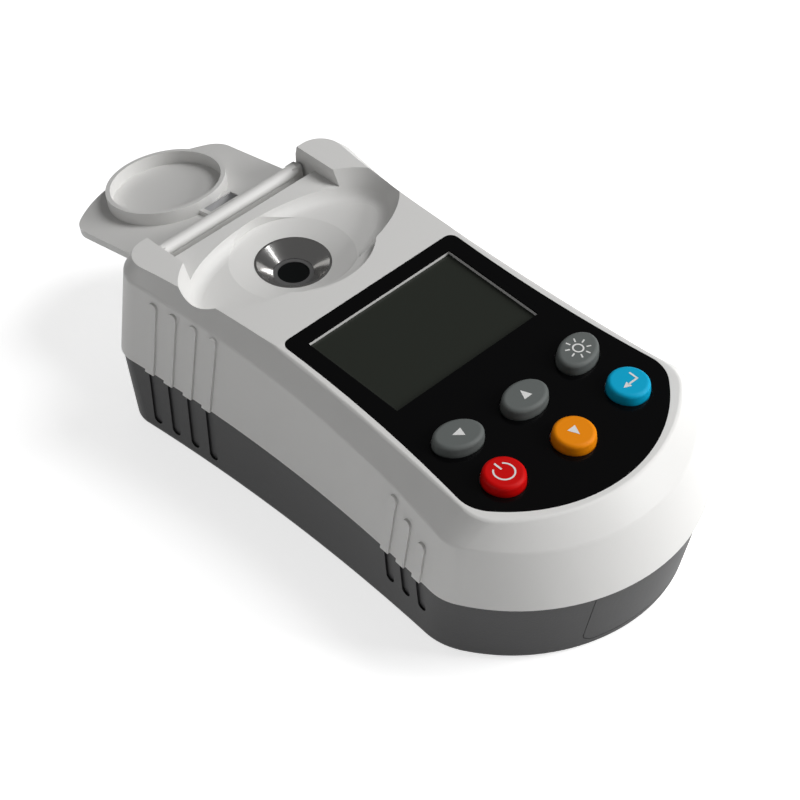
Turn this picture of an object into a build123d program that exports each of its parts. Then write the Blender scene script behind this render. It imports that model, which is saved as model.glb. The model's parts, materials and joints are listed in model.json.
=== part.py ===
"""Digital refractometer: a hand-held instrument with a sample dish, a prism, a display and six keys.

Frame: millimetres, +Z up, +X to the reader's right, +Y towards the sample end.
The origin lies on the table under the middle of the housing, where the four feet stand.
"""
from build123d import *
import os
from math import atan2, cos, degrees, radians, sin, sqrt

os.makedirs("parts", exist_ok=True)

# Housing: heights and overall form
top_height = 40.0            # top face above the table at y = 0
top_rise = 0.069             # rise of the top face towards the sample end, mm per mm
seam_height = 18.7           # parting line between the white and the dark housing
floor_height = 0.6           # underside of the dark housing, the feet stand proud of it
shoulder_drop = 5.3          # height of the bevelled shoulder round the top
wall = 2.0                   # housing side wall
ceiling = 2.6                # top wall, measured from the top face
seam_step = 0.4              # the white housing overhangs the dark one
bottom_round = 1.5           # rounding of the bottom edge
top_round = 0.8
shoulder_round = 1.5
back_y = 63.3                # rear end of the housing
tilt = degrees(atan2(top_rise, 1.0))

# Plan outlines: (back y, half width at the back, half width at the waist, waist y,
# half width at the nose, nose circle centre y, nose circle radius, nose corner, back corner)
top_edge = (back_y - 1.5, 26.0, 25.5, 12.0, 29.0, -15.9, 38.7, 8.0, 5.0)
shoulder_edge = (back_y - 0.6, 32.2, 28.65, 7.6, 34.0, -21.5, 38.2, 8.0, 6.5)
seam_edge = (back_y, 34.4, 32.1, 16.0, 36.4, -23.9, 39.3, 10.0, 6.5)
base_edge = (back_y - 2.6, 33.4, 31.4, 15.0, 33.9, -22.5, 36.2, 15.0, 6.5)

# Front panel and display, measured along the top face
display_y = 1.8
display_size = (40.0, 25.5)
panel_thickness = 0.35
panel_edge = (18.1, 24.15, 24.45, -3.0, 28.0, -19.25, 33.9, 8.0, 2.0)
panel_gap = 0.05
glass_depth = 1.1            # the glass lies this far below the panel
glass_margin = 1.7           # glass beyond the window on each side
glass_thickness = 1.8
backlight_thickness = 2.5
frame_wall = 1.6             # display frame
fit_gap = 0.1                # between two pieces that drop into one another

# Keys
key_rise = 2.3               # key tops above the panel
key_travel = 0.6
key_clearance = 0.25
key_flange = 0.9             # the flange is this much wider than the key
key_flange_height = 0.9
key_taper = 6.0              # draft of the key's side
key_round = 0.9
key_straight = 0.4           # height above the panel where the draft begins
round_key_radius = 4.5
oval_key_size = (5.5, 4.05)  # half length and half width
key_places = {               # name: (x, y, turn in degrees, oval)
    "key_left": (-16.95, -24.7, -17.0, True),
    "key_up": (0.0, -26.3, 0.0, True),
    "key_light": (16.95, -24.7, 17.0, True),
    "key_power": (-17.7, -37.75, 0.0, False),
    "key_down": (0.0, -39.6, 0.0, False),
    "key_enter": (17.7, -37.75, 0.0, False),
}

# Sample end: deck, dish, cup and lid well
deck_height = top_height + top_rise * panel_edge[0]
dish_y = 41.3
dish_half_size = (28.5, 14.5)
dish_floor_half_size = (25.6, 11.8)
dish_depth = 6.05
dish_round = 3.0
dish_floor = deck_height - dish_depth
cup_y = 41.0
cup_rim_radius = 7.7
cup_rim_height = dish_floor - 1.0
cup_throat_radius = 4.4
cup_depth = 2.7
cup_throat_height = cup_rim_height - cup_depth
cup_wall = 0.5
cup_flange_radius = 9.6
cup_flange_height = 1.4
funnel_radius = 13.6         # edge of the shallow funnel round the cup
lip_radius = 17.7            # finger room round the lid's free edge
lip_height = deck_height - 2.85
land_height = deck_height - 3.65
land_front_y = 48.0
trough_front_y = 57.0
trough_floor = deck_height - 9.85
head_front_y = 21.5          # solid head of the white housing that holds the dish
head_underside = cup_throat_height + 0.5
hinge_block_y = 55.0
hinge_block_underside = trough_floor - 2.9

# Lid and hinge, measured from the hinge axis
hinge_y = 61.5
hinge_z = lip_height - 2.1
lid_droop = 10.9             # the open lid hangs this far below level
lid_half_width = 20.9
lid_length = 35.2
lid_foot = 1.2
lid_thickness = 1.7
lid_offset = 2.4             # inner face of the lid from the hinge axis
lid_corner = 6.0
lid_bow = 31.6               # radius of the lid's free edge
lid_gap = 0.4                # between the closed lid and its well
barrel_radius = 1.55
barrel_half_length = lid_half_width - 1.5
pin_radius = 1.0
pin_clearance = 0.05
pin_hold = 0.01
pin_inner_x = lid_half_width - 6.4
pin_outer_x = lid_half_width + 5.1
shield_distance = 21.0
shield_outer_radius = 13.35
shield_wall = 1.0
shield_height = 3.0
shield_room = 0.45           # radial room round the light shield
lug_width = 2.4
lug_depth = 2.6
lug_height = 3.6
magnet_size = (7.8, 2.6, 1.4)
magnet_x = 3.2
magnet_distance = 6.4
magnet_frame = 1.1
magnet_rise = 0.9
magnet_depth = 0.2           # the magnet lies this far below its holder's rim

# Ribs for grip: y places and top heights
rear_ribs = [(y, top_height - 3.6) for y in (50.1, 44.6, 38.9, 33.3)]
front_ribs = [(-21.7, top_height - 8.2), (-26.6, top_height - 10.6), (-31.6, top_height - 12.6)]
rib_width = 2.4
rib_rise = 0.6
groove_depth = 0.45
rear_groove_end = 3.6
front_groove_end = 8.8

# Battery bay in the nose
cell_radius = 5.25
cell_length = 43.2
cell_stud = 0.8
cell_x = 5.6
cell_z = 9.2
cell_front_y = -53.4
bay_gap = 0.4
bay_wall = 1.5
bay_back_y = -4.4
door_half_width = 14.6
door_bottom = 3.0
door_corner = 2.5
door_gap = 0.15
door_rib_x = 9.2
door_rib_width = 1.4
door_arm_x = 13.7
door_arm_width = 1.0
door_arm_height = 5.0
door_arm_length = 8.0
contact_thickness = 0.3
contact_half = 3.6
contact_height = 6.0
cell_stud_radius = 1.9

# Screws and feet
screw_radius = 1.3
screw_head_radius = 2.4
screw_head_height = 1.7
screw_clearance = 0.05
screw_seat = 12.0
screw_top = seam_height + 8.3
boss_radius = 3.7
boss_top = top_height - 4.0
boss_places = [(-24.5, 47.0), (24.5, 47.0), (-27.0, -14.0), (27.0, -14.0)]
foot_radius = 4.0
foot_height = 1.1
foot_places = [(-24.0, 54.5), (24.0, 54.5), (-23.5, -37.5), (23.5, -37.5)]

# Electronics
board_depth = 6.6            # top of the main board below the panel
board_thickness = 1.6
board_half_width = display_size[0] / 2 + glass_margin - 0.2
board_front_y = -46.0
board_back_y = 22.6
board_corner = 9.0
board_back_gap = 2.0         # from the wide part of the board to the head of the housing
slot_half_width = 16.0
post_radius = 2.2
post_places = [(-9.3, -32.7), (9.3, -32.7)]
board_screw_radius = 0.9
board_screw_head = (1.8, 1.1)
board_screw_reach = 2.8
optic_screw_reach = 1.6
switch_size = 6.0
switch_height = 1.5
component_plan = [                # x, y, width, depth
    (0.0, 0.0, 10.0, 10.0),
    (-12.0, -20.0, 5.0, 3.0),
    (12.0, -8.0, 7.0, 4.0),
    (0.0, 14.0, 14.0, 4.0),
]
component_height = 1.4
capacitor_places = [(-14.0, 6.0), (-14.0, 12.0)]
capacitor_radius = 2.0
capacitor_height = 5.0
switch_plunger_radius = 1.6

# Optics under the cup
prism_top = cup_throat_height - 0.3
prism_window_radius = 3.4
seal_top = cup_throat_height - 0.1
thermistor_x = 7.2
prism_body_top = head_underside - cup_flange_height - 0.7
prism_half_width = 5.0
prism_top_half = 5.6
prism_bottom_half = 2.4
prism_bottom = prism_body_top - 4.5
seal_flange_radius = 5.4
holder_half_size = (11.0, 11.0)
holder_bottom = prism_body_top - 8.3
holder_top = prism_body_top
holder_leg_radius = 3.2
holder_leg_x = 13.2
holder_leg_bottom = head_underside - 8.0
optic_distance = 6.0         # lamp and sensor boards from the prism's sloping faces
lamp_radius = 1.5
lamp_length = 4.2
optic_board = (10.0, 6.4, 1.2)
sensor_size = (8.0, 3.0, 1.2)
thermistor_radius = 1.3
lid_sensor_size = (4.0, 1.6, 3.0)
lid_sensor_top = head_underside + 2.0


def top_plane(drop=0.0):
    """A plane parallel to the top face, a given drop square below it."""
    slope = radians(tilt)
    return Plane(
        origin=(0, drop * sin(slope), top_height - drop * cos(slope)),
        x_dir=(1, 0, 0),
        z_dir=(0, -sin(slope), cos(slope)),
    )


def draw_outline(edge, inset=0.0):
    """Draw a waisted plan outline with a round nose, moved inwards by inset."""
    back, back_half, waist_half, waist_y = edge[:4]
    nose_half, centre_y, radius, nose_corner, back_corner = edge[4:]
    back -= inset
    back_half -= inset
    waist_half -= inset
    nose_half -= inset
    radius -= inset
    side_end = centre_y - sqrt(radius**2 - nose_half**2)
    with BuildLine() as path:
        Line((-back_half, back), (back_half, back))
        ThreePointArc((back_half, back), (waist_half, waist_y), (nose_half, side_end))
        ThreePointArc((nose_half, side_end), (0, centre_y - radius), (-nose_half, side_end))
        ThreePointArc((-nose_half, side_end), (-waist_half, waist_y), (-back_half, back))
    make_face(path.edges())
    corners = BuildSketch._get_context().sketch_local.vertices().sort_by(Axis.Y)
    fillet(corners[:2], max(nose_corner - inset, 1.0))
    corners = BuildSketch._get_context().sketch_local.vertices().sort_by(Axis.Y)
    fillet(corners[-2:], max(back_corner - inset, 0.8))


def on_plane(edge, drop):
    """True for an edge that lies at the given drop below the top face."""
    plane = top_plane(drop)
    return all(abs(plane.to_local_coords(edge @ t).Z) < 0.02 for t in (0.0, 0.5, 1.0))


def save(piece, name):
    """Name a finished piece and write it out."""
    piece.part.label = name
    export_step(piece.part, f"parts/{name}.step")


# White housing: outer form, ribs and the room inside
with BuildPart() as upper_form:
    with BuildSketch(Plane.XY.offset(seam_height)):
        draw_outline(seam_edge)
    with BuildSketch(top_plane(shoulder_drop)):
        draw_outline(shoulder_edge)
    with BuildSketch(top_plane()):
        draw_outline(top_edge)
    loft(ruled=True)
    fillet(upper_form.edges().filter_by(lambda e: on_plane(e, 0.0)), top_round)
    fillet(upper_form.edges().filter_by(lambda e: on_plane(e, shoulder_drop)), shoulder_round)

with BuildPart() as upper_room:
    with BuildSketch(Plane.XY.offset(seam_height - 0.01)):
        draw_outline(seam_edge, wall)
    with BuildSketch(top_plane(shoulder_drop + 0.4)):
        draw_outline(shoulder_edge, wall)
    with BuildSketch(top_plane(ceiling)):
        draw_outline(top_edge, wall)
    loft(ruled=True)

# The head that holds the dish and the block behind the hinge stay solid
with BuildPart() as head_block:
    with BuildSketch(Plane.XY.offset(head_underside)):
        with Locations((0, head_front_y)):
            Rectangle(90, 60, align=(Align.CENTER, Align.MIN))
    extrude(amount=20)
    with BuildSketch(Plane.XY.offset(hinge_block_underside)):
        with Locations((0, hinge_block_y)):
            Rectangle(90, 30, align=(Align.CENTER, Align.MIN))
    extrude(amount=20)

with BuildPart() as room:
    add(upper_room.part)
    add(head_block.part, mode=Mode.SUBTRACT)

with BuildPart() as upper_ribs:
    with BuildSketch(Plane.XY.offset(seam_height)):
        draw_outline(seam_edge, -rib_rise)
    with BuildSketch(top_plane(shoulder_drop)):
        draw_outline(shoulder_edge, -rib_rise)
    loft(ruled=True)
    with BuildSketch(Plane.YZ):
        for rib_y, rib_top in rear_ribs + front_ribs:
            rib_length = rib_top - seam_height + rib_width
            with Locations((rib_y, rib_top - rib_length / 2)):
                SlotOverall(rib_length, rib_width, rotation=90)
    extrude(amount=60, both=True, mode=Mode.INTERSECT)

with BuildPart() as upper_bosses:
    with BuildSketch(Plane.XY.offset(seam_height)):
        with Locations(*boss_places):
            Circle(boss_radius)
    extrude(amount=boss_top - seam_height)
    add(upper_form.part, mode=Mode.INTERSECT)

# Sample dish with its sloping wall, the funnel round the cup and the room for the light shield
with BuildPart() as dish_form:
    dish_grow = (deck_height + 1.0 - dish_floor) / (deck_height - dish_floor)
    dish_top_half = [f + (t - f) * dish_grow for t, f in zip(dish_half_size, dish_floor_half_size)]
    with BuildSketch(Plane.XY.offset(dish_floor)):
        with Locations((0, dish_y)):
            Ellipse(*dish_floor_half_size)
    with BuildSketch(Plane.XY.offset(deck_height + 1.0)):
        with Locations((0, dish_y)):
            Ellipse(*dish_top_half)
    loft()
    fillet(dish_form.edges().filter_by_position(Axis.Z, dish_floor - 0.01, dish_floor + 0.01), dish_round)

shield_y = hinge_y - shield_distance
with BuildPart() as shield_room_form:
    with BuildSketch(Plane.XY.offset(dish_floor)):
        with Locations((0, shield_y)):
            Circle(shield_outer_radius + shield_room)
    extrude(amount=dish_depth)

with BuildPart() as funnel_form:
    with BuildSketch(Plane.XZ.offset(-cup_y)):
        with BuildLine():
            Polyline(
                (0, cup_rim_height),
                (cup_rim_radius + cup_wall + fit_gap / 2, cup_rim_height),
                (funnel_radius, dish_floor),
                (0, dish_floor),
                close=True,
            )
        make_face()
    revolve(axis=Axis((0, cup_y, 0), (0, 0, 1)))


def draw_lid_outline(grow=0.0):
    """Draw the lid in its own plane: the foot at the hinge, y pointing to the free edge."""
    half = lid_half_width + grow
    length = lid_length + grow
    bow = lid_bow + grow
    side = length - bow + sqrt(bow**2 - half**2)
    with BuildLine() as path:
        Line((-half, -lid_foot), (half, -lid_foot))
        Line((half, -lid_foot), (half, side))
        ThreePointArc((half, side), (0, length), (-half, side))
        Line((-half, side), (-half, -lid_foot))
    make_face(path.edges())
    corners = BuildSketch._get_context().sketch_local.vertices().sort_by(Axis.Y)
    fillet(corners[-2:], lid_corner + grow)


well_width = 2 * (lid_half_width + lid_gap)
closed_plane = Plane(origin=(0, hinge_y, lip_height), x_dir=(-1, 0, 0), z_dir=(0, 0, 1))
with BuildPart() as lid_well:
    with BuildSketch(closed_plane):
        draw_lid_outline(lid_gap)
    extrude(amount=dish_depth)
    with BuildSketch(Plane.XY.offset(lip_height)):
        with Locations((0, cup_y)):
            Circle(lip_radius)
    extrude(amount=dish_depth)
    with BuildSketch(Plane.XY.offset(land_height)):
        with Locations((0, land_front_y)):
            Rectangle(well_width, back_y - land_front_y + 1.0, align=(Align.CENTER, Align.MIN))
    extrude(amount=dish_depth)
    with BuildSketch(Plane.XY.offset(trough_floor)):
        with Locations((0, trough_front_y)):
            Rectangle(well_width, back_y - trough_front_y + 1.0, align=(Align.CENTER, Align.MIN))
    extrude(amount=2 * dish_depth)

# Keys share one plan drawing, grown for the holes and the flanges
def draw_key(name, grow=0.0):
    """Draw one key's plan outline in the top face."""
    x, y, turn, oval = key_places[name]
    with Locations((x, y)):
        if oval:
            Ellipse(oval_key_size[0] + grow, oval_key_size[1] + grow, rotation=turn)
        else:
            Circle(round_key_radius + grow)


glass_size = [size + 2 * glass_margin for size in display_size]
glass_room = [size + 2 * fit_gap for size in glass_size]
frame_size = [size + 2 * frame_wall for size in glass_room]

with BuildPart() as upper_housing:
    add(upper_form.part)
    add(upper_ribs.part)
    add(room.part, mode=Mode.SUBTRACT)
    # Level deck behind the panel
    with BuildSketch(Plane.XY.offset(deck_height)):
        with Locations((0, panel_edge[0] + panel_gap)):
            Rectangle(90, 60, align=(Align.CENTER, Align.MIN))
    extrude(amount=10, mode=Mode.SUBTRACT)
    add(upper_bosses.part)
    # Posts for the main board
    with BuildSketch(top_plane(board_depth)):
        with Locations(*post_places):
            Circle(post_radius)
    extrude(amount=board_depth - ceiling + 0.5)
    # Panel seat, display window and the pocket for the glass
    with BuildSketch(top_plane(panel_thickness)):
        draw_outline(panel_edge, -panel_gap)
    extrude(amount=5, mode=Mode.SUBTRACT)
    with BuildSketch(top_plane(ceiling + 1.0)):
        with Locations((0, display_y)):
            Rectangle(*display_size)
    extrude(amount=6, mode=Mode.SUBTRACT)
    with BuildSketch(top_plane(glass_depth)):
        with Locations((0, display_y)):
            Rectangle(*glass_room)
    extrude(amount=-10, mode=Mode.SUBTRACT)
    with BuildSketch(top_plane(glass_depth + glass_thickness)):
        with Locations((0, display_y)):
            Rectangle(*[size + 2 * fit_gap for size in frame_size])
    extrude(amount=-10, mode=Mode.SUBTRACT)
    # Key holes
    with BuildSketch(top_plane(ceiling + 1.0)):
        for key_name in key_places:
            draw_key(key_name, key_clearance)
    extrude(amount=6, mode=Mode.SUBTRACT)
    # Slot for the rear edge of the main board
    with BuildSketch(top_plane(board_depth - fit_gap / 2)):
        with Locations((0, board_back_y + fit_gap)):
            Rectangle(2 * (slot_half_width + fit_gap), 6, align=(Align.CENTER, Align.MAX))
    extrude(amount=-(board_thickness + fit_gap), mode=Mode.SUBTRACT)
    # Dish, funnel, cup hole and lid well
    add(dish_form.part, mode=Mode.SUBTRACT)
    add(shield_room_form.part, mode=Mode.SUBTRACT)
    add(funnel_form.part, mode=Mode.SUBTRACT)
    add(lid_well.part, mode=Mode.SUBTRACT)
    with BuildSketch(Plane.XY.offset(head_underside - 1)):
        with Locations((0, cup_y)):
            Circle(cup_rim_radius + cup_wall + fit_gap / 2)
    extrude(amount=10, mode=Mode.SUBTRACT)
    # Holes for the hinge pins
    with BuildSketch(Plane.YZ.offset(-pin_outer_x - pin_hold)):
        with Locations((hinge_y, hinge_z)):
            Circle(pin_radius + pin_hold)
    extrude(amount=2 * (pin_outer_x + pin_hold), mode=Mode.SUBTRACT)
    # Holes for the housing screws and the optics screws
    with BuildSketch(Plane.XY.offset(seam_height - 1)):
        with Locations(*boss_places):
            Circle(screw_radius + screw_clearance)
    extrude(amount=screw_top - seam_height + 2.0, mode=Mode.SUBTRACT)
    with BuildSketch(Plane.XY.offset(head_underside - 1)):
        with Locations((-holder_leg_x, cup_y), (holder_leg_x, cup_y)):
            Circle(board_screw_radius + screw_clearance)
    extrude(amount=optic_screw_reach + 1.3, mode=Mode.SUBTRACT)
    with BuildSketch(top_plane(board_depth)):
        with Locations(*post_places):
            Circle(board_screw_radius + screw_clearance)
    extrude(amount=board_screw_reach + 0.2, mode=Mode.SUBTRACT)
    # Pocket for the lid sensor
    with BuildSketch(Plane.XY.offset(lid_sensor_top)):
        with Locations((magnet_x, hinge_y - magnet_distance)):
            Rectangle(lid_sensor_size[0] + fit_gap, lid_sensor_size[1] + fit_gap)
    extrude(amount=-10, mode=Mode.SUBTRACT)
save(upper_housing, "upper_housing")

# Dark housing: outer form, grooves and the battery bay
with BuildPart() as lower_form:
    with BuildSketch(Plane.XY.offset(seam_height)):
        draw_outline(seam_edge, seam_step)
    with BuildSketch(Plane.XY.offset(floor_height)):
        draw_outline(base_edge)
    loft(ruled=True)
    fillet(lower_form.edges().group_by(Axis.Z)[0], bottom_round)

with BuildPart() as lower_room:
    with BuildSketch(Plane.XY.offset(seam_height)):
        draw_outline(seam_edge, seam_step + wall)
    with BuildSketch(Plane.XY.offset(floor_height + wall)):
        draw_outline(base_edge, wall - 0.2)
    loft(ruled=True)

with BuildPart() as lower_core:
    with BuildSketch(Plane.XY.offset(seam_height + 0.01)):
        draw_outline(seam_edge, seam_step + groove_depth)
    with BuildSketch(Plane.XY.offset(floor_height)):
        draw_outline(base_edge, groove_depth)
    loft(ruled=True)

with BuildPart() as grooves:
    with BuildSketch(Plane.XY.offset(seam_height)):
        draw_outline(seam_edge, seam_step - 0.5)
    with BuildSketch(Plane.XY.offset(floor_height)):
        draw_outline(base_edge, -0.5)
    loft(ruled=True)
    with BuildSketch(Plane.YZ):
        for rib_places, groove_end in ((rear_ribs, rear_groove_end), (front_ribs, front_groove_end)):
            for rib_y, rib_top in rib_places:
                groove_length = seam_height - groove_end + rib_width
                with Locations((rib_y, groove_end + groove_length / 2)):
                    SlotOverall(groove_length, rib_width, rotation=90)
    extrude(amount=60, both=True, mode=Mode.INTERSECT)
    add(lower_core.part, mode=Mode.SUBTRACT)

bay_half_width = cell_x + cell_radius + bay_gap
bay_floor = cell_z - cell_radius - bay_gap
bay_top = cell_z + cell_radius + bay_gap
cell_back_y = cell_front_y + cell_length + cell_stud


def draw_door(grow=0.0):
    """Draw the battery door in front view, from the floor strip up to the parting line."""
    half = door_half_width + grow
    top = seam_height + grow
    bottom = door_bottom - grow
    with BuildLine() as path:
        Polyline((-half, top), (-half, bottom), (half, bottom), (half, top), close=True)
    make_face(path.edges())
    corners = BuildSketch._get_context().sketch_local.vertices().sort_by(Axis.Y)
    fillet(corners[:2], door_corner + grow)


with BuildPart() as lower_housing:
    add(lower_form.part)
    add(grooves.part, mode=Mode.SUBTRACT)
    add(lower_room.part, mode=Mode.SUBTRACT)
    # Battery bay: a sleeve for two cells, open to the nose
    with BuildSketch(Plane.XZ.offset(-bay_back_y - bay_wall)):
        with Locations((0, floor_height + 0.5)):
            Rectangle(
                2 * (bay_half_width + bay_wall),
                bay_top + bay_wall - floor_height - 0.5,
                align=(Align.CENTER, Align.MIN),
            )
    extrude(amount=-cell_front_y + bay_back_y + bay_wall - 0.3)
    with BuildSketch(Plane.XZ.offset(-bay_back_y)):
        with Locations((0, bay_floor)):
            Rectangle(2 * bay_half_width, bay_top - bay_floor, align=(Align.CENTER, Align.MIN))
    extrude(amount=70, mode=Mode.SUBTRACT)
    # Opening for the door
    with BuildSketch(Plane.XZ.offset(-cell_front_y + 0.3)):
        draw_door(door_gap)
    extrude(amount=30, mode=Mode.SUBTRACT)
    # Screw bosses with deep counterbores
    with BuildSketch(Plane.XY.offset(floor_height + 0.5)):
        with Locations(*boss_places):
            Circle(boss_radius)
    extrude(amount=seam_height - floor_height - 0.5)
    with BuildSketch(Plane.XY):
        with Locations(*boss_places):
            Circle(screw_head_radius + screw_clearance)
    extrude(amount=screw_seat, mode=Mode.SUBTRACT)
    with BuildSketch(Plane.XY):
        with Locations(*boss_places):
            Circle(screw_radius + screw_clearance)
    extrude(amount=seam_height + 1, mode=Mode.SUBTRACT)
    # Pockets for the feet
    with BuildSketch(Plane.XY):
        with Locations(*foot_places):
            Circle(foot_radius + fit_gap / 2)
    extrude(amount=foot_height, mode=Mode.SUBTRACT)
save(lower_housing, "lower_housing")

# Battery door: a piece of the nose wall with ribs that press on the cells, and two side arms
link_back_y = cell_front_y - contact_thickness
with BuildPart() as door_wall:
    add(lower_form.part)
    add(lower_room.part, mode=Mode.SUBTRACT)
    with BuildSketch(Plane.XZ.offset(-link_back_y + door_gap)):
        draw_door()
    extrude(amount=30, mode=Mode.INTERSECT)

with BuildPart() as battery_door:
    with BuildSketch(Plane.XZ.offset(-link_back_y)):
        with Locations(*[(x, cell_z) for x in (-door_rib_x, 0, door_rib_x)]):
            Rectangle(door_rib_width, 2 * cell_radius)
    extrude(amount=12)
    with BuildSketch(Plane.XZ.offset(-link_back_y - door_arm_length)):
        with Locations((-door_arm_x, cell_z), (door_arm_x, cell_z)):
            Rectangle(door_arm_width, door_arm_height)
    extrude(amount=20)
    add(lower_form.part, mode=Mode.INTERSECT)
    add(door_wall.part)
save(battery_door, "battery_door")

with BuildPart() as door_link:
    with BuildSketch(Plane.XZ.offset(-cell_front_y)):
        with Locations((0, cell_z)):
            Rectangle(2 * (cell_x + 4.2), 6.0)
    extrude(amount=contact_thickness)
save(door_link, "door_link")

# Cells: one points to the back and one to the nose
cell_plan = (("cell_left", -1, cell_front_y), ("cell_right", 1, cell_front_y + cell_stud))
for cell_name, side, body_front in cell_plan:
    with BuildPart() as cell:
        with BuildSketch(Plane.XZ.offset(-body_front)):
            with Locations((side * cell_x, cell_z)):
                Circle(cell_radius)
        extrude(amount=-cell_length)
        chamfer(cell.edges().filter_by(GeomType.CIRCLE), 0.4)
        with BuildSketch(Plane.XZ.offset(-cell_front_y)):
            with Locations((side * cell_x, cell_z)):
                Circle(cell_stud_radius)
        extrude(amount=-5)
        with BuildSketch(Plane.XZ.offset(-cell_back_y)):
            with Locations((side * cell_x, cell_z)):
                Circle(cell_stud_radius)
        extrude(amount=5)
    save(cell, cell_name)

for contact_name, side in (("contact_left", -1), ("contact_right", 1)):
    with BuildPart() as contact:
        with BuildSketch(Plane.XY.offset(cell_z - contact_height / 2)):
            with BuildLine():
                Line(
                    (side * cell_x - contact_half, bay_back_y - contact_thickness / 2),
                    (side * cell_x + contact_half, bay_back_y - contact_thickness / 2),
                )
                ThreePointArc(
                    (side * cell_x - contact_half, bay_back_y - contact_thickness / 2),
                    (side * cell_x, cell_back_y + contact_thickness / 2),
                    (side * cell_x + contact_half, bay_back_y - contact_thickness / 2),
                )
            trace(line_width=contact_thickness)
        extrude(amount=contact_height)
    save(contact, contact_name)

# Front panel, display and main board
with BuildPart() as front_panel:
    with BuildSketch(top_plane(panel_thickness)):
        draw_outline(panel_edge)
        with Locations((0, display_y)):
            Rectangle(*display_size, mode=Mode.SUBTRACT)
    extrude(amount=panel_thickness)
    with BuildSketch(top_plane(panel_thickness)):
        for key_name in key_places:
            draw_key(key_name, key_clearance)
    extrude(amount=panel_thickness, mode=Mode.SUBTRACT)
save(front_panel, "front_panel")

with BuildPart() as lcd_glass:
    with BuildSketch(top_plane(glass_depth + glass_thickness)):
        with Locations((0, display_y)):
            Rectangle(*glass_size)
    extrude(amount=glass_thickness)
save(lcd_glass, "lcd_glass")

backlight_drop = glass_depth + glass_thickness + backlight_thickness
with BuildPart() as lcd_backlight:
    with BuildSketch(top_plane(backlight_drop)):
        with Locations((0, display_y)):
            Rectangle(*glass_size)
    extrude(amount=backlight_thickness)
save(lcd_backlight, "lcd_backlight")

with BuildPart() as lcd_frame:
    with BuildSketch(top_plane(board_depth)):
        with Locations((0, display_y)):
            Rectangle(*frame_size)
    extrude(amount=board_depth - glass_depth - glass_thickness)
    with BuildSketch(top_plane(backlight_drop)):
        with Locations((0, display_y)):
            Rectangle(*glass_room)
    extrude(amount=5, mode=Mode.SUBTRACT)
    with BuildSketch(top_plane(board_depth)):
        with Locations((0, display_y)):
            Rectangle(*[size - 4 * frame_wall for size in glass_size])
    extrude(amount=5, mode=Mode.SUBTRACT)
save(lcd_frame, "lcd_frame")

with BuildPart() as main_board:
    with BuildSketch(top_plane(board_depth + board_thickness)) as board_sketch:
        with Locations((0, board_front_y)):
            Rectangle(
                2 * board_half_width,
                head_front_y - board_back_gap - board_front_y,
                align=(Align.CENTER, Align.MIN),
            )
        fillet(board_sketch.vertices().sort_by(Axis.Y)[:2], board_corner)
        with Locations((0, board_back_y)):
            Rectangle(2 * slot_half_width, 10, align=(Align.CENTER, Align.MAX))
        with Locations(*post_places):
            Circle(board_screw_radius + screw_clearance, mode=Mode.SUBTRACT)
    extrude(amount=board_thickness)
save(main_board, "main_board")

with BuildPart() as board_components:
    with BuildSketch(top_plane(board_depth + board_thickness)):
        for x, y, w, d in component_plan:
            with Locations((x, y)):
                Rectangle(w, d)
    extrude(amount=-component_height)
    with BuildSketch(top_plane(board_depth + board_thickness)):
        with Locations(*capacitor_places):
            Circle(capacitor_radius)
    extrude(amount=-capacitor_height)
save(board_components, "board_components")

key_flange_drop = ceiling + fit_gap / 2 + key_flange_height
with BuildPart() as key_switches:
    with BuildSketch(top_plane(board_depth)):
        with Locations(*[place[:2] for place in key_places.values()]):
            Rectangle(switch_size, switch_size)
    extrude(amount=switch_height)
    with BuildSketch(top_plane(board_depth)):
        with Locations(*[place[:2] for place in key_places.values()]):
            Circle(switch_plunger_radius)
    extrude(amount=board_depth - key_flange_drop - key_travel - fit_gap)
save(key_switches, "key_switches")

for number, post in enumerate(post_places, start=1):
    with BuildPart() as board_screw:
        with BuildSketch(top_plane(board_depth + board_thickness)):
            with Locations(post):
                Circle(board_screw_radius)
        extrude(amount=board_thickness + board_screw_reach)
        with BuildSketch(top_plane(board_depth + board_thickness)):
            with Locations(post):
                Circle(board_screw_head[0])
        extrude(amount=-board_screw_head[1])
    save(board_screw, f"board_screw_{number}")

for key_name in key_places:
    with BuildPart() as key:
        with BuildSketch(top_plane(key_flange_drop)):
            draw_key(key_name)
        extrude(amount=key_flange_drop + key_straight)
        with BuildSketch(top_plane(-key_straight)):
            draw_key(key_name)
        extrude(amount=key_rise - key_straight, taper=key_taper)
        fillet(key.faces().sort_by(Axis.Z)[-1].edges(), key_round)
        with BuildSketch(top_plane(key_flange_drop)):
            draw_key(key_name, key_flange)
        extrude(amount=key_flange_height)
    save(key, key_name)

# Cup, prism, lamp and sensor
with BuildPart() as sample_cup:
    with BuildSketch(Plane.XZ.offset(-cup_y)):
        with BuildLine():
            Polyline(
                (cup_throat_radius, cup_throat_height),
                (cup_rim_radius, cup_rim_height),
                (cup_rim_radius + cup_wall, cup_rim_height),
                (cup_rim_radius + cup_wall, head_underside),
                (cup_flange_radius, head_underside),
                (cup_flange_radius, head_underside - cup_flange_height),
                (cup_throat_radius, head_underside - cup_flange_height),
                close=True,
            )
        make_face()
    revolve(axis=Axis((0, cup_y, 0), (0, 0, 1)))
save(sample_cup, "sample_cup")

cup_bottom = head_underside - cup_flange_height
with BuildPart() as prism_seal:
    with BuildSketch(Plane.XZ.offset(-cup_y)):
        with BuildLine():
            Polyline(
                (prism_window_radius + pin_clearance, seal_top),
                (cup_throat_radius - pin_clearance, seal_top),
                (cup_throat_radius - pin_clearance, cup_bottom),
                (seal_flange_radius, cup_bottom),
                (seal_flange_radius, prism_body_top),
                (prism_window_radius + pin_clearance, prism_body_top),
                close=True,
            )
        make_face()
    revolve(axis=Axis((0, cup_y, 0), (0, 0, 1)))
save(prism_seal, "prism_seal")

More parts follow.
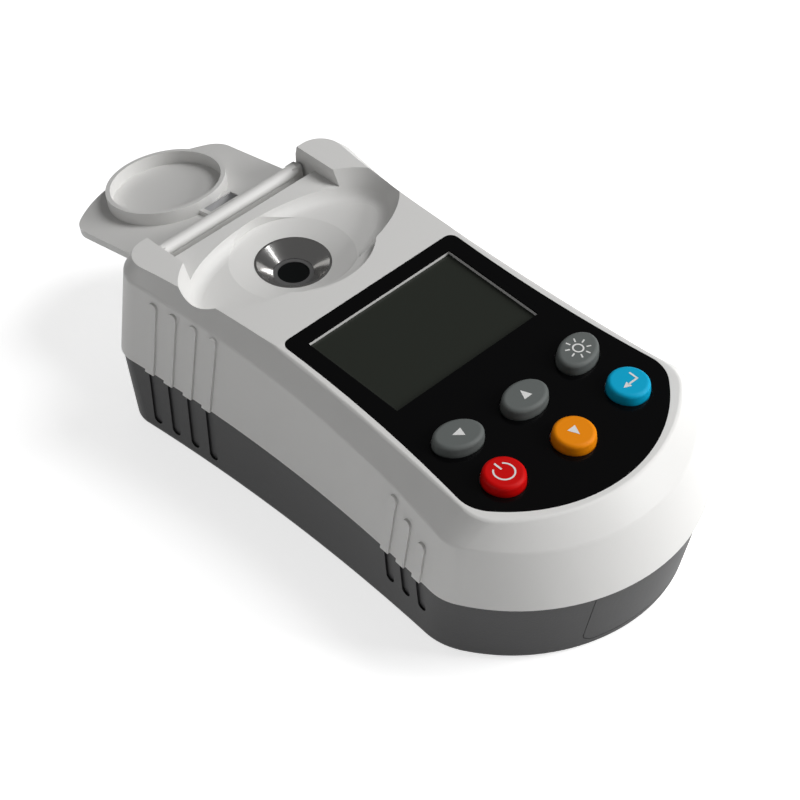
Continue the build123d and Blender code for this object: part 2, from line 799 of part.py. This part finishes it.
with BuildPart() as prism:
    with BuildSketch(Plane.YZ.offset(-prism_half_width)):
        with BuildLine():
            Polyline(
                (cup_y - prism_top_half, prism_body_top),
                (cup_y + prism_top_half, prism_body_top),
                (cup_y + prism_bottom_half, prism_bottom),
                (cup_y - prism_bottom_half, prism_bottom),
                close=True,
            )
        make_face()
    extrude(amount=2 * prism_half_width)
    with BuildSketch(Plane.XY.offset(prism_body_top)):
        with Locations((0, cup_y)):
            Circle(prism_window_radius)
    extrude(amount=prism_top - prism_body_top)
save(prism, "prism")

# The lamp looks into the front sloping face of the prism, the sensor into the rear one
face_rise = prism_body_top - prism_bottom
face_run = prism_top_half - prism_bottom_half
face_length = sqrt(face_rise**2 + face_run**2)
face_out = (face_rise / face_length, -face_run / face_length)
face_middle = ((prism_top_half + prism_bottom_half) / 2, (prism_body_top + prism_bottom) / 2)


def optic_plane(side, distance):
    """A plane square to the light path on one side of the prism, facing away from it."""
    return Plane(
        origin=(
            0,
            cup_y + side * (face_middle[0] + distance * face_out[0]),
            face_middle[1] + distance * face_out[1],
        ),
        x_dir=(1, 0, 0),
        z_dir=(0, side * face_out[0], face_out[1]),
    )


board_reach = optic_distance / face_out[0]
slope_run = face_run / face_rise
with BuildPart() as prism_holder:
    with BuildSketch(Plane.YZ.offset(-holder_half_size[0])):
        with BuildLine():
            seat_y = face_middle[0] + board_reach
            half_y = holder_half_size[1]
            knee_z = face_middle[1] + (half_y - seat_y) / slope_run
            foot_y = seat_y - (face_middle[1] - holder_bottom) * slope_run
            Polyline(
                (cup_y - half_y, holder_top),
                (cup_y + half_y, holder_top),
                (cup_y + half_y, knee_z),
                (cup_y + foot_y, holder_bottom),
                (cup_y - foot_y, holder_bottom),
                (cup_y - half_y, knee_z),
                close=True,
            )
        make_face()
    extrude(amount=2 * holder_half_size[0])
    with BuildSketch(Plane.XY.offset(holder_leg_bottom)):
        with Locations((-holder_leg_x, cup_y), (holder_leg_x, cup_y)):
            Circle(holder_leg_radius)
    extrude(amount=head_underside - holder_leg_bottom)
    with BuildSketch(Plane.XY.offset(head_underside)):
        with Locations((0, cup_y)):
            Circle(cup_flange_radius + fit_gap)
    extrude(amount=-head_underside + holder_top, mode=Mode.SUBTRACT)
    with BuildSketch(Plane.XY.offset(holder_leg_bottom)):
        with Locations((-holder_leg_x, cup_y), (holder_leg_x, cup_y)):
            Circle(board_screw_radius + screw_clearance)
    extrude(amount=20, mode=Mode.SUBTRACT)
    with BuildSketch(Plane.XY.offset(prism_bottom - fit_gap / 2)):
        with Locations((0, cup_y)):
            Rectangle(2 * (prism_half_width + fit_gap / 2), 2 * (prism_top_half + fit_gap / 2))
    extrude(amount=10, mode=Mode.SUBTRACT)
    with BuildSketch(optic_plane(-1, 0)):
        Circle(lamp_radius + fit_gap / 2)
    extrude(amount=20, mode=Mode.SUBTRACT)
    with BuildSketch(optic_plane(1, 0)):
        Rectangle(sensor_size[0] + fit_gap, sensor_size[1] + fit_gap)
    extrude(amount=20, mode=Mode.SUBTRACT)
save(prism_holder, "prism_holder")

with BuildPart() as lamp:
    with BuildSketch(optic_plane(-1, optic_distance)):
        Circle(lamp_radius)
    extrude(amount=-lamp_length)
    fillet(lamp.faces().sort_by(Axis.Y)[-1].edges(), 0.9)
save(lamp, "lamp")

for board_name, side in (("lamp_board", -1), ("sensor_board", 1)):
    with BuildPart() as small_board:
        with BuildSketch(optic_plane(side, optic_distance)):
            Rectangle(optic_board[0], optic_board[1])
        extrude(amount=optic_board[2])
    save(small_board, board_name)

with BuildPart() as sensor_chip:
    with BuildSketch(optic_plane(1, optic_distance)):
        Rectangle(sensor_size[0], sensor_size[1])
    extrude(amount=-sensor_size[2])
save(sensor_chip, "sensor_chip")

with BuildPart() as thermistor:
    with BuildSketch(Plane.XY.offset(cup_bottom)):
        with Locations((thermistor_x, cup_y)):
            Circle(thermistor_radius)
    extrude(amount=-(cup_bottom - holder_top))
save(thermistor, "thermistor")

with BuildPart() as lid_sensor:
    with BuildSketch(Plane.XY.offset(lid_sensor_top)):
        with Locations((magnet_x, hinge_y - magnet_distance)):
            Rectangle(lid_sensor_size[0], lid_sensor_size[1])
    extrude(amount=-lid_sensor_size[2])
save(lid_sensor, "lid_sensor")

for number, leg_side in enumerate((-1, 1), start=1):
    with BuildPart() as optic_screw:
        with BuildSketch(Plane.XY.offset(holder_leg_bottom)):
            with Locations((leg_side * holder_leg_x, cup_y)):
                Circle(board_screw_radius)
        extrude(amount=head_underside - holder_leg_bottom + optic_screw_reach)
        with BuildSketch(Plane.XY.offset(holder_leg_bottom)):
            with Locations((leg_side * holder_leg_x, cup_y)):
                Circle(board_screw_head[0])
        extrude(amount=-board_screw_head[1])
    save(optic_screw, f"optic_screw_{number}")

# Lid, drawn open: its plane hangs down behind the hinge
droop = radians(lid_droop)


def lid_plane(height=0.0):
    """A plane parallel to the open lid, a given height above the hinge axis."""
    return Plane(
        origin=(0, hinge_y + height * sin(droop), hinge_z + height * cos(droop)),
        x_dir=(1, 0, 0),
        z_dir=(0, sin(droop), cos(droop)),
    )


with BuildPart() as lid:
    with BuildSketch(lid_plane(-lid_offset - lid_thickness)):
        draw_lid_outline()
    extrude(amount=lid_thickness)
    # Barrel with its web and the two lugs
    with BuildSketch(Plane.YZ.offset(-barrel_half_length)):
        with Locations((hinge_y, hinge_z)):
            Circle(barrel_radius)
    extrude(amount=2 * barrel_half_length)
    with BuildSketch(lid_plane(-lid_offset - 0.3)):
        Rectangle(2 * barrel_half_length, 2 * lid_foot)
    extrude(amount=lid_offset + 0.3)
    with BuildSketch(lid_plane(-lid_offset - 0.3)):
        with Locations((-barrel_half_length, 0), (barrel_half_length, 0)):
            Rectangle(lug_width, lug_depth, align=(Align.CENTER, Align.CENTER))
    extrude(amount=lug_height + 0.3)
    # Light shield and magnet holder
    with BuildSketch(lid_plane(-lid_offset - 0.3)):
        with Locations((0, shield_distance)):
            Circle(shield_outer_radius)
            Circle(shield_outer_radius - shield_wall, mode=Mode.SUBTRACT)
    extrude(amount=shield_height + 0.3)
    with BuildSketch(lid_plane(-lid_offset - 0.3)):
        with Locations((magnet_x, magnet_distance)):
            Rectangle(magnet_size[0] + 2 * magnet_frame, magnet_size[1] + 2 * magnet_frame)
    extrude(amount=magnet_rise + 0.3)
    with BuildSketch(lid_plane(-lid_offset + magnet_rise - magnet_size[2] - magnet_depth)):
        with Locations((magnet_x, magnet_distance)):
            Rectangle(magnet_size[0] + fit_gap, magnet_size[1] + fit_gap)
    extrude(amount=5, mode=Mode.SUBTRACT)
    # Bores for the hinge pins
    with BuildSketch(Plane.YZ.offset(-barrel_half_length - lug_width)):
        with Locations((hinge_y, hinge_z)):
            Circle(pin_radius + pin_clearance)
    extrude(amount=barrel_half_length + lug_width - pin_inner_x, mode=Mode.SUBTRACT)
    with BuildSketch(Plane.YZ.offset(pin_inner_x)):
        with Locations((hinge_y, hinge_z)):
            Circle(pin_radius + pin_clearance)
    extrude(amount=barrel_half_length + lug_width - pin_inner_x, mode=Mode.SUBTRACT)
save(lid, "lid")

with BuildPart() as lid_magnet:
    with BuildSketch(lid_plane(-lid_offset + magnet_rise - magnet_size[2] - magnet_depth)):
        with Locations((magnet_x, magnet_distance)):
            Rectangle(magnet_size[0], magnet_size[1])
    extrude(amount=magnet_size[2])
save(lid_magnet, "lid_magnet")

for pin_name, side in (("hinge_pin_left", -1), ("hinge_pin_right", 1)):
    with BuildPart() as hinge_pin:
        with BuildSketch(Plane.YZ.offset(side * (pin_inner_x + 0.3))):
            with Locations((hinge_y, hinge_z)):
                Circle(pin_radius)
        extrude(amount=side * (pin_outer_x - pin_inner_x - 0.3))
    save(hinge_pin, pin_name)

# Screws and feet
for number, (x, y) in enumerate(boss_places, start=1):
    with BuildPart() as housing_screw:
        with BuildSketch(Plane.XY.offset(screw_seat)):
            with Locations((x, y)):
                Circle(screw_radius)
        extrude(amount=screw_top - screw_seat)
        with BuildSketch(Plane.XY.offset(screw_seat)):
            with Locations((x, y)):
                Circle(screw_head_radius)
        extrude(amount=-screw_head_height)
        with BuildSketch(Plane.XY.offset(screw_seat - screw_head_height)):
            with Locations((x, y)):
                Rectangle(2.6, 0.6)
                Rectangle(0.6, 2.6)
        extrude(amount=0.9, mode=Mode.SUBTRACT)
    save(housing_screw, f"housing_screw_{number}")

for number, (x, y) in enumerate(foot_places, start=1):
    with BuildPart() as foot:
        with BuildSketch():
            with Locations((x, y)):
                Circle(foot_radius)
        extrude(amount=foot_height)
        chamfer(foot.faces().sort_by(Axis.Z)[0].edges(), 0.4)
    save(foot, f"foot_{number}")
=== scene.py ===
# %% [markdown]
# # A digital refractometer, dressed for its picture
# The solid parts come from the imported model, which is the fixed frame: nothing in it is moved or reshaped. This
# script gives each part its finish, adds the small printed signs on the keys, and sets the table, the lamps and the
# camera. Units are metres in Blender, and millimetres where a sign is drawn on a key.

# %% Load the frame
import json
import math

import bpy
import numpy as np
from mathutils import Matrix


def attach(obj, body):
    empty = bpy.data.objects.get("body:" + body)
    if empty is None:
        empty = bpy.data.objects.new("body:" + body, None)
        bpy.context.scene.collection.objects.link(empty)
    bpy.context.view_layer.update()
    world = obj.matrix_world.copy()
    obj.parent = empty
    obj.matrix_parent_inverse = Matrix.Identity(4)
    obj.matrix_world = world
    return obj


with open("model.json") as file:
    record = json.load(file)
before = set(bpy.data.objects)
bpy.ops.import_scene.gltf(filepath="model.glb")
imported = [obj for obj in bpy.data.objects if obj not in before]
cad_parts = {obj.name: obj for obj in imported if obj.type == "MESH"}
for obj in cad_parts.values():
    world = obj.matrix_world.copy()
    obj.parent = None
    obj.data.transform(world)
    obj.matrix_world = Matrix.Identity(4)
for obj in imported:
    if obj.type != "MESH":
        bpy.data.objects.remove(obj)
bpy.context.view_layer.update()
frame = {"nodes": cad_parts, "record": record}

nodes = frame["nodes"]
print("nodes loaded:", len(nodes))

# %% [markdown]
# ## Two helpers for materials
# A finish could be built by hand in the shader editor. In a script, two helpers keep each one short. The first makes
# a material with its Principled BSDF. The second writes plain values on the shader's sockets, so that every number
# can be found on the shader itself.


# %% Helpers for materials
def start_material(name):
    """Make an empty material with a Principled BSDF and return it with its tree and shader."""
    material = bpy.data.materials.new(name)
    material.use_nodes = True
    tree = material.node_tree
    shader = tree.nodes["Principled BSDF"]
    return material, tree, shader


def set_plain(shader, colour, roughness, metallic=0.0, coat=0.0, coat_roughness=0.05, ior=1.47):
    """Write plain values on a shader's sockets."""
    shader.inputs["Base Color"].default_value = (*colour, 1.0)
    shader.inputs["Roughness"].default_value = roughness
    shader.inputs["Metallic"].default_value = metallic
    shader.inputs["Coat Weight"].default_value = coat
    shader.inputs["Coat Roughness"].default_value = coat_roughness
    shader.inputs["IOR"].default_value = ior


# %% [markdown]
# ## A shared grain
# Moulded plastic is never quite smooth: the mould leaves a fine spark-eroded grain. It could be painted as an image,
# but a noise texture needs no picture and never shows a seam. Noise on object coordinates drives a Bump node inside
# one group, and each material that has a grain places the group with its own size and depth. Object coordinates are
# used because every part keeps its place in its own mesh.

# %% The grain group
NOISE_DETAIL = 2.0
BUMP_HEIGHT = 0.0001
DEFAULT_GRAIN = (2500.0, 0.1)


def make_grain_group():
    """Bump normal from fine noise: the height is the noise value, and Depth is the bump's strength."""
    group = bpy.data.node_groups.new("moulded_grain", "ShaderNodeTree")
    size = group.interface.new_socket("Size", in_out="INPUT", socket_type="NodeSocketFloat")
    depth = group.interface.new_socket("Depth", in_out="INPUT", socket_type="NodeSocketFloat")
    size.default_value, depth.default_value = DEFAULT_GRAIN
    group.interface.new_socket("Normal", in_out="OUTPUT", socket_type="NodeSocketVector")
    inside = group.nodes.new("NodeGroupInput")
    outside = group.nodes.new("NodeGroupOutput")
    place = group.nodes.new("ShaderNodeTexCoord")
    noise = group.nodes.new("ShaderNodeTexNoise")
    bump = group.nodes.new("ShaderNodeBump")
    noise.inputs["Detail"].default_value = NOISE_DETAIL
    bump.inputs["Distance"].default_value = BUMP_HEIGHT
    group.links.new(place.outputs["Object"], noise.inputs["Vector"])
    group.links.new(inside.outputs["Size"], noise.inputs["Scale"])
    group.links.new(noise.outputs["Fac"], bump.inputs["Height"])
    group.links.new(inside.outputs["Depth"], bump.inputs["Strength"])
    group.links.new(bump.outputs["Normal"], outside.inputs["Normal"])
    return group


grain_group = make_grain_group()
print("grain group sockets:", len(grain_group.interface.items_tree))


# %% Place the grain and add a finish
def add_grain(tree, shader, size, depth):
    """Place the grain group in a material and feed its normal to the shader."""
    grain = tree.nodes.new("ShaderNodeGroup")
    grain.node_tree = grain_group
    grain.inputs["Size"].default_value = size
    grain.inputs["Depth"].default_value = depth
    tree.links.new(grain.outputs["Normal"], shader.inputs["Normal"])


materials = {}


def add_finish(slot, colour, roughness, metallic=0.0, coat=0.0, ior=1.45, grain=None):
    """Make the finish of one material slot. The grain is a pair: size and depth."""
    material, tree, shader = start_material(slot)
    set_plain(shader, colour, roughness, metallic, coat, ior=ior)
    if grain:
        add_grain(tree, shader, *grain)
    materials[slot] = material


# %% [markdown]
# ## The two housings
# The upper housing and the lid are a warm white moulding with a satin surface. The lower housing and its battery
# door are near black and a little rougher, with a deeper grain. A plain shader with grain is enough, because the
# real plastic has one colour all through.

# %% White and dark mouldings
FINE_GRAIN = (3000.0, 0.10)
COARSE_GRAIN = (2200.0, 0.25)
WARM_WHITE = (0.80, 0.795, 0.780)
NEAR_BLACK = (0.022, 0.022, 0.023)

for slot in ("shell_white", "lid_white"):
    add_finish(slot, WARM_WHITE, 0.42, grain=FINE_GRAIN)
for slot in ("base_grey", "door_grey"):
    add_finish(slot, NEAR_BLACK, 0.50, ior=1.40, grain=COARSE_GRAIN)
add_finish("foot_rubber", (0.02, 0.02, 0.02), 0.75)
print("finishes so far:", len(materials))

# %% [markdown]
# ## The panel and the display
# The front panel is a thin film printed black on its back, and the display under it is dark grey-green when it is
# off. Both are glossy. A low index of refraction keeps their mirror image of the white studio faint, as the picture
# shows, while the low roughness keeps it sharp.

# %% Panel and display
add_finish("panel_black", (0.0022, 0.0022, 0.0024), 0.16, ior=1.25)
add_finish("display_glass", (0.023, 0.026, 0.021), 0.25, ior=1.30)
add_finish("backlight_white", (0.70, 0.71, 0.68), 0.60)
print("finishes so far:", len(materials))

# %% [markdown]
# ## The keys
# The keys are moulded silicone: three are grey, and the red, orange and blue ones are strong, even colours.
# Silicone hardly shines, so the roughness is high and the index of refraction is low. A fine grain breaks up what
# shine is left.

# %% Silicone keys
KEY_GRAIN = (3000.0, 0.15)
KEY_ROUGHNESS = 0.50

add_finish("key_grey", (0.130, 0.142, 0.138), KEY_ROUGHNESS, ior=1.30, grain=KEY_GRAIN)
key_colours = {"key_red": (0.65, 0.0, 0.0), "key_orange": (0.90, 0.27, 0.0), "key_blue": (0.0, 0.40, 0.66)}
for slot, colour in key_colours.items():
    add_finish(slot, colour, KEY_ROUGHNESS, ior=1.25, grain=KEY_GRAIN)
print("finishes so far:", len(materials))

# %% [markdown]
# ## The cup and the prism
# The sample cup is polished steel, which is a full metal with a low roughness. The prism at its bottom looks almost
# black, since the chamber below it is dark, so a dark smooth surface stands for it. The seal round it is dull.

# %% Cup, seal and prism
add_finish("cup_steel", (0.62, 0.61, 0.60), 0.14, metallic=1.0)
add_finish("seal_grey", (0.12, 0.12, 0.12), 0.50)
add_finish("prism_glass", (0.006, 0.007, 0.007), 0.20, ior=1.20)
print("finishes so far:", len(materials))

# %% [markdown]
# ## Parts inside
# Boards, chips, cells and screws hardly show, but they can be seen when the battery door is off or the model is
# taken apart. Simple finishes do: solder mask is a green with a thin clear coat, chips are dull, and strips,
# screws and the magnet are plain metal.

# %% Inner finishes
add_finish("inner_plastic", (0.02, 0.02, 0.02), 0.55)
add_finish("board_green", (0.02, 0.12, 0.05), 0.35, coat=0.3)
add_finish("chip_black", (0.02, 0.02, 0.02), 0.50)
add_finish("contact_metal", (0.62, 0.60, 0.56), 0.25, metallic=1.0)
add_finish("cell_jacket", (0.10, 0.10, 0.12), 0.30, metallic=0.3)
add_finish("screw_steel", (0.55, 0.55, 0.56), 0.30, metallic=1.0)
add_finish("lamp_clear", (0.80, 0.68, 0.35), 0.15, coat=0.3)
add_finish("magnet_metal", (0.50, 0.50, 0.52), 0.30, metallic=1.0)
print("finishes:", len(materials))

# %% [markdown]
# ## Put the finishes on
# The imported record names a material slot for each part. Each mesh loses its plain slot and takes the finish of the
# same name, so a part can't be missed.

# %% Dress the nodes
for subpart in frame["record"]["subparts"]:
    mesh = nodes[subpart["node"]].data
    mesh.materials.clear()
    mesh.materials.append(materials[subpart["material_slot"]])

# %% [markdown]
# ## The plane of the keys
# The real keys carry small printed signs. They could be painted as a texture, but six small outlines stay sharp at
# any distance as flat patches. Each patch is worked out in the plane of the key tops, x to the right and y up the
# panel, in millimetres, and is then placed a hair above the tilted key.

# %% From the panel's plane to the frame
PANEL_RISE = 0.069
TOP_HEIGHT = 40.0
KEY_RISE = 2.3
INK_LIFT = 0.03
MM_PER_METRE = 1000.0
slope = math.atan(PANEL_RISE)
along_x = np.array([1.0, 0.0, 0.0])
along_y = np.array([0.0, math.cos(slope), math.sin(slope)])
outward = np.array([0.0, -math.sin(slope), math.cos(slope)])


def place_on_key(flat):
    """Points (x, y) in the panel plane become frame points: origin + x X + y Y + height N, in metres."""
    origin = np.array([0.0, 0.0, TOP_HEIGHT])
    points = origin + flat[:, :1] * along_x + flat[:, 1:2] * along_y + (KEY_RISE + INK_LIFT) * outward
    return points / MM_PER_METRE


print("the keys lean by", round(math.degrees(slope), 2), "degrees")

# %% [markdown]
# ## Ink from strips
# Every sign is made of strips. A strip is two rows with as many points each, and quads join row to row. A ring, a
# bar and a triangle are all strips, so one function can build any sign. Ink has no thickness that an eye can see,
# so the patch stays flat. It rides on its key, which carries it down when the key is pressed.


# %% Build a patch
def ink_patch(name, strips, key, material):
    """Build one mesh from strips, turn every quad to face outwards, and let it ride on its key."""
    points, faces = [], []
    start = 0
    for first, second in strips:
        count = len(first)
        points.append(np.vstack([first, second]))
        low = start + np.arange(count - 1)
        faces.append(np.stack([low, low + 1, low + 1 + count, low + count], axis=1))
        start += 2 * count
    flat = np.vstack(points)
    quads = np.vstack(faces)
    corners = flat[quads]
    ahead, back = corners[:, 1] - corners[:, 0], corners[:, 3] - corners[:, 0]
    wrong = ahead[:, 0] * back[:, 1] - ahead[:, 1] * back[:, 0] < 0
    quads[wrong] = quads[wrong][:, ::-1]
    mesh = bpy.data.meshes.new(name)
    mesh.from_pydata(place_on_key(flat).tolist(), [], quads.tolist())
    mesh.materials.append(material)
    patch = bpy.data.objects.new(name, mesh)
    bpy.context.scene.collection.objects.link(patch)
    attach(patch, key)
    print(name, "faces:", len(quads))


# %% Three kinds of strip
def ring_strip(centre, inner, outer, start=0.0, end=360.0, count=40):
    """A band between two radii: both rows follow (cos a, sin a) from start to end in degrees."""
    angle = np.radians(np.linspace(start, end, count))
    unit = np.stack([np.cos(angle), np.sin(angle)], axis=1)
    return centre + inner * unit, centre + outer * unit


def bar_strip(a, b, width):
    """A straight bar from a to b: each row is the centre line moved half a width to one side."""
    a, b = np.array(a, float), np.array(b, float)
    side = np.array([-(b - a)[1], (b - a)[0]]) / np.linalg.norm(b - a) * width / 2
    return np.array([a - side, b - side]), np.array([a + side, b + side])


ARROW_BASE = np.array([[-0.8, -0.7], [0.8, -0.7]])
ARROW_TIP = np.array([[-0.02, 1.0], [0.02, 1.0]])


def triangle_strip(centre, size, turn):
    """A filled arrow head: one row is its base, the other its narrow tip, turned by turn degrees."""
    a = math.radians(turn)
    spin = np.array([[math.cos(a), -math.sin(a)], [math.sin(a), math.cos(a)]])
    return centre + ARROW_BASE * size @ spin.T, centre + ARROW_TIP * size @ spin.T


# %% [markdown]
# ## Arrows on the grey and orange keys
# One arrow head serves three keys. It points left, up or down, and the left key's arrow leans with its key, because
# the outer grey keys fan out.

# %% Draw the arrows
ink_white, _, ink_shader = start_material("ink_white")
set_plain(ink_shader, (0.80, 0.80, 0.79), 0.45)
ARROW_SIZE = 1.35
SIDE_TURN = 17.0
left_key = np.array([-16.95, -24.7])
up_key = np.array([0.0, -26.3])
down_key = np.array([0.0, -39.6])

ink_patch("sign_left", [triangle_strip(left_key, ARROW_SIZE, 90 - SIDE_TURN)], "key_left", ink_white)
ink_patch("sign_up", [triangle_strip(up_key, ARROW_SIZE, 0)], "key_up", ink_white)
ink_patch("sign_down", [triangle_strip(down_key, ARROW_SIZE, 180)], "key_down", ink_white)

# %% [markdown]
# ## The sun on the light key
# A sun is a thin ring with eight short rays round it. The rays are bars that run outwards from the centre, spread
# evenly round the circle.

# %% Draw the sun
SUN_RING = (0.90, 1.25)
SUN_RAY = (1.75, 2.75)
RAY_WIDTH = 0.34
RAY_STEP = 45
light_key = np.array([16.95, -24.7])
rays = []
for angle in np.radians(np.arange(0, 360, RAY_STEP) + SIDE_TURN):
    ray = np.array([math.cos(angle), math.sin(angle)])
    rays.append(bar_strip(light_key + SUN_RAY[0] * ray, light_key + SUN_RAY[1] * ray, RAY_WIDTH))
ink_patch("sign_light", [ring_strip(light_key, *SUN_RING), *rays], "key_light", ink_white)

# %% [markdown]
# ## The power ring
# The standard sign for power is an open ring with a bar in its gap. The ring runs round from one side of the gap to
# the other, and the bar stands upright in it.

# %% Draw the power sign
INK_WIDTH = 0.42
POWER_RING = (1.95, 2.32)
POWER_GAP = (125, 415)
POWER_BAR = (0.7, 2.7)
power_key = np.array([-17.7, -37.75])
power_bar = bar_strip(power_key + [0, POWER_BAR[0]], power_key + [0, POWER_BAR[1]], INK_WIDTH)
ink_patch("sign_power", [ring_strip(power_key, *POWER_RING, *POWER_GAP), power_bar], "key_power", ink_white)

# %% [markdown]
# ## The return arrow
# The blue key has an arrow that comes down and turns to the left. It is two bars, which share the corner, and the
# same arrow head as above, turned by a quarter.

# %% Draw the return arrow
STEM_X, STEM_TOP = 1.7, 1.5
RUN_Y, RUN_END = -0.6, -0.9
HEAD_X, HEAD_SIZE = -1.3, 0.95
enter_key = np.array([17.7, -37.75])
ink_patch(
    "sign_enter",
    [
        bar_strip(enter_key + [STEM_X, STEM_TOP], enter_key + [STEM_X, RUN_Y], INK_WIDTH),
        bar_strip(enter_key + [STEM_X + INK_WIDTH / 2, RUN_Y], enter_key + [RUN_END, RUN_Y], INK_WIDTH),
        triangle_strip(enter_key + [HEAD_X, RUN_Y], HEAD_SIZE, 90),
    ],
    "key_enter",
    ink_white,
)

# %% [markdown]
# ## The floor
# A product picture stands on a pale sheet with a soft shadow. A flat grid does. Its paint takes the shadow as any
# surface does, and adds a steady glow that only the camera and mirror rays see. So the sheet turns white in the
# picture, and no extra light falls on the object.

# %% Make the floor
FLOOR_HALF = 4.0
FLOOR_LINES = 3


def make_floor():
    """A flat square grid at z = 0: point (i, j) lies at (x, y, 0)."""
    line = np.linspace(-FLOOR_HALF, FLOOR_HALF, FLOOR_LINES)
    x, y = np.meshgrid(line, line)
    points = np.stack([x.ravel(), y.ravel(), np.zeros(x.size)], axis=1)
    index = np.arange(FLOOR_LINES**2).reshape(FLOOR_LINES, FLOOR_LINES)
    quads = np.stack([index[:-1, :-1], index[:-1, 1:], index[1:, 1:], index[1:, :-1]], axis=-1).reshape(-1, 4)
    mesh = bpy.data.meshes.new("floor")
    mesh.from_pydata(points.tolist(), [], quads.tolist())
    floor = bpy.data.objects.new("floor", mesh)
    bpy.context.scene.collection.objects.link(floor)
    return floor


floor = make_floor()
print("floor faces:", len(floor.data.polygons))


# %% Paint the floor
def rays_of(tree, first, second):
    """A value that is 1 for two kinds of ray, named as on the Light Path node, and 0 for all others."""
    light_path = tree.nodes.new("ShaderNodeLightPath")
    either = tree.nodes.new("ShaderNodeMath")
    either.operation = "MAXIMUM"
    tree.links.new(light_path.outputs[first], either.inputs[0])
    tree.links.new(light_path.outputs[second], either.inputs[1])
    return either.outputs["Value"]


FLOOR_GLOW = 0.70
floor_paint, tree, shader = start_material("floor_paint")
set_plain(shader, (0.92, 0.92, 0.92), 0.9)
floor.data.materials.append(floor_paint)
shine = tree.nodes.new("ShaderNodeEmission")
shine.inputs["Strength"].default_value = FLOOR_GLOW
both = tree.nodes.new("ShaderNodeAddShader")
tree.links.new(shader.outputs["BSDF"], both.inputs[0])
tree.links.new(shine.outputs["Emission"], both.inputs[1])
mixed = tree.nodes.new("ShaderNodeMixShader")
tree.links.new(rays_of(tree, "Is Camera Ray", "Is Glossy Ray"), mixed.inputs["Fac"])
tree.links.new(shader.outputs["BSDF"], mixed.inputs[1])
tree.links.new(both.outputs["Shader"], mixed.inputs[2])
tree.links.new(mixed.outputs["Shader"], tree.nodes["Material Output"].inputs["Surface"])
print("floor paint nodes:", len(tree.nodes))

# %% [markdown]
# ## The world
# The world is white to the camera and through glass, so the picture's edges are white. To all other rays it is a
# calm grey, which fills the shadows a little and leaves the modelling to the lamps.

# %% Set the world
WHITE = (1.0, 1.0, 1.0, 1.0)
CALM_STRENGTH = 0.12
BRIGHT_STRENGTH = 1.0
world = bpy.data.worlds.new("studio")
bpy.context.scene.world = world
world.use_nodes = True
sky = world.node_tree
calm = sky.nodes["Background"]
calm.inputs["Color"].default_value = WHITE
calm.inputs["Strength"].default_value = CALM_STRENGTH
bright = sky.nodes.new("ShaderNodeBackground")
bright.inputs["Color"].default_value = WHITE
bright.inputs["Strength"].default_value = BRIGHT_STRENGTH
choose = sky.nodes.new("ShaderNodeMixShader")
sky.links.new(rays_of(sky, "Is Camera Ray", "Is Transmission Ray"), choose.inputs["Fac"])
sky.links.new(calm.outputs["Background"], choose.inputs[1])
sky.links.new(bright.outputs["Background"], choose.inputs[2])
sky.links.new(choose.outputs["Shader"], sky.nodes["World Output"].inputs["Surface"])
print("world nodes:", len(sky.nodes))

# %% [markdown]
# ## The lamps
# Three square soft lamps light the object. The strongest stands low at the front right, so the nose is the brightest
# side. One above on the right lights the top and leaves the left bevel dark, and a weak one lies low on the left.
# None stands where the black panel would mirror it into the camera.


# %% Place the lamps
def area_lamp(name, place, aim, size, watts):
    """A square soft lamp at a place in metres, turned so that it looks at aim."""
    data = bpy.data.lights.new(name, "AREA")
    data.shape = "SQUARE"
    data.size = size
    data.energy = watts
    lamp = bpy.data.objects.new(name, data)
    back = np.array(place, float) - np.array(aim, float)
    back /= np.linalg.norm(back)
    right = np.cross([0.0, 0.0, 1.0], back)
    right /= np.linalg.norm(right)
    up = np.cross(back, right)
    turn = np.eye(4)
    turn[:3, 0], turn[:3, 1], turn[:3, 2], turn[:3, 3] = right, up, back, place
    lamp.matrix_world = Matrix(turn.tolist())
    bpy.context.scene.collection.objects.link(lamp)


LAMP_AIM = (0.0, 0.0, 0.03)
LAMP_SIZE = 0.40
area_lamp("lamp_key", (0.50, -0.60, 0.42), LAMP_AIM, LAMP_SIZE, 4.6)
area_lamp("lamp_top", (0.45, -0.20, 0.80), LAMP_AIM, LAMP_SIZE, 3.4)
area_lamp("lamp_fill", (-0.85, 0.05, 0.10), LAMP_AIM, LAMP_SIZE, 0.9)
print("lamps:", len(bpy.data.lights))

# %% [markdown]
# ## The camera
# The camera stands where the photographer stood. Its place, turn and lens were worked out once from the outlines of
# the housing, the panel and the keys, and are written here as one matrix: its columns are the camera's right, up
# and back, and then its place.

# %% Place the camera
SENSOR_WIDTH = 36.0
LENS = 124.85
NEAR, FAR = 0.01, 20.0
camera_data = bpy.data.cameras.new("camera")
camera_data.sensor_width = SENSOR_WIDTH
camera_data.lens = LENS
camera_data.clip_start = NEAR
camera_data.clip_end = FAR
camera = bpy.data.objects.new("camera", camera_data)
camera.matrix_world = Matrix(
    [
        [0.71425805, 0.49224046, -0.49752866, -0.2885334],
        [-0.69956492, 0.48071214, -0.52870102, -0.29719533],
        [-0.02107996, 0.72568256, 0.68770667, 0.41399026],
        [0.0, 0.0, 0.0, 1.0],
    ]
)
bpy.context.scene.collection.objects.link(camera)
bpy.context.scene.camera = camera
bpy.context.scene.view_settings.view_transform = "Standard"
print("lens:", camera_data.lens)
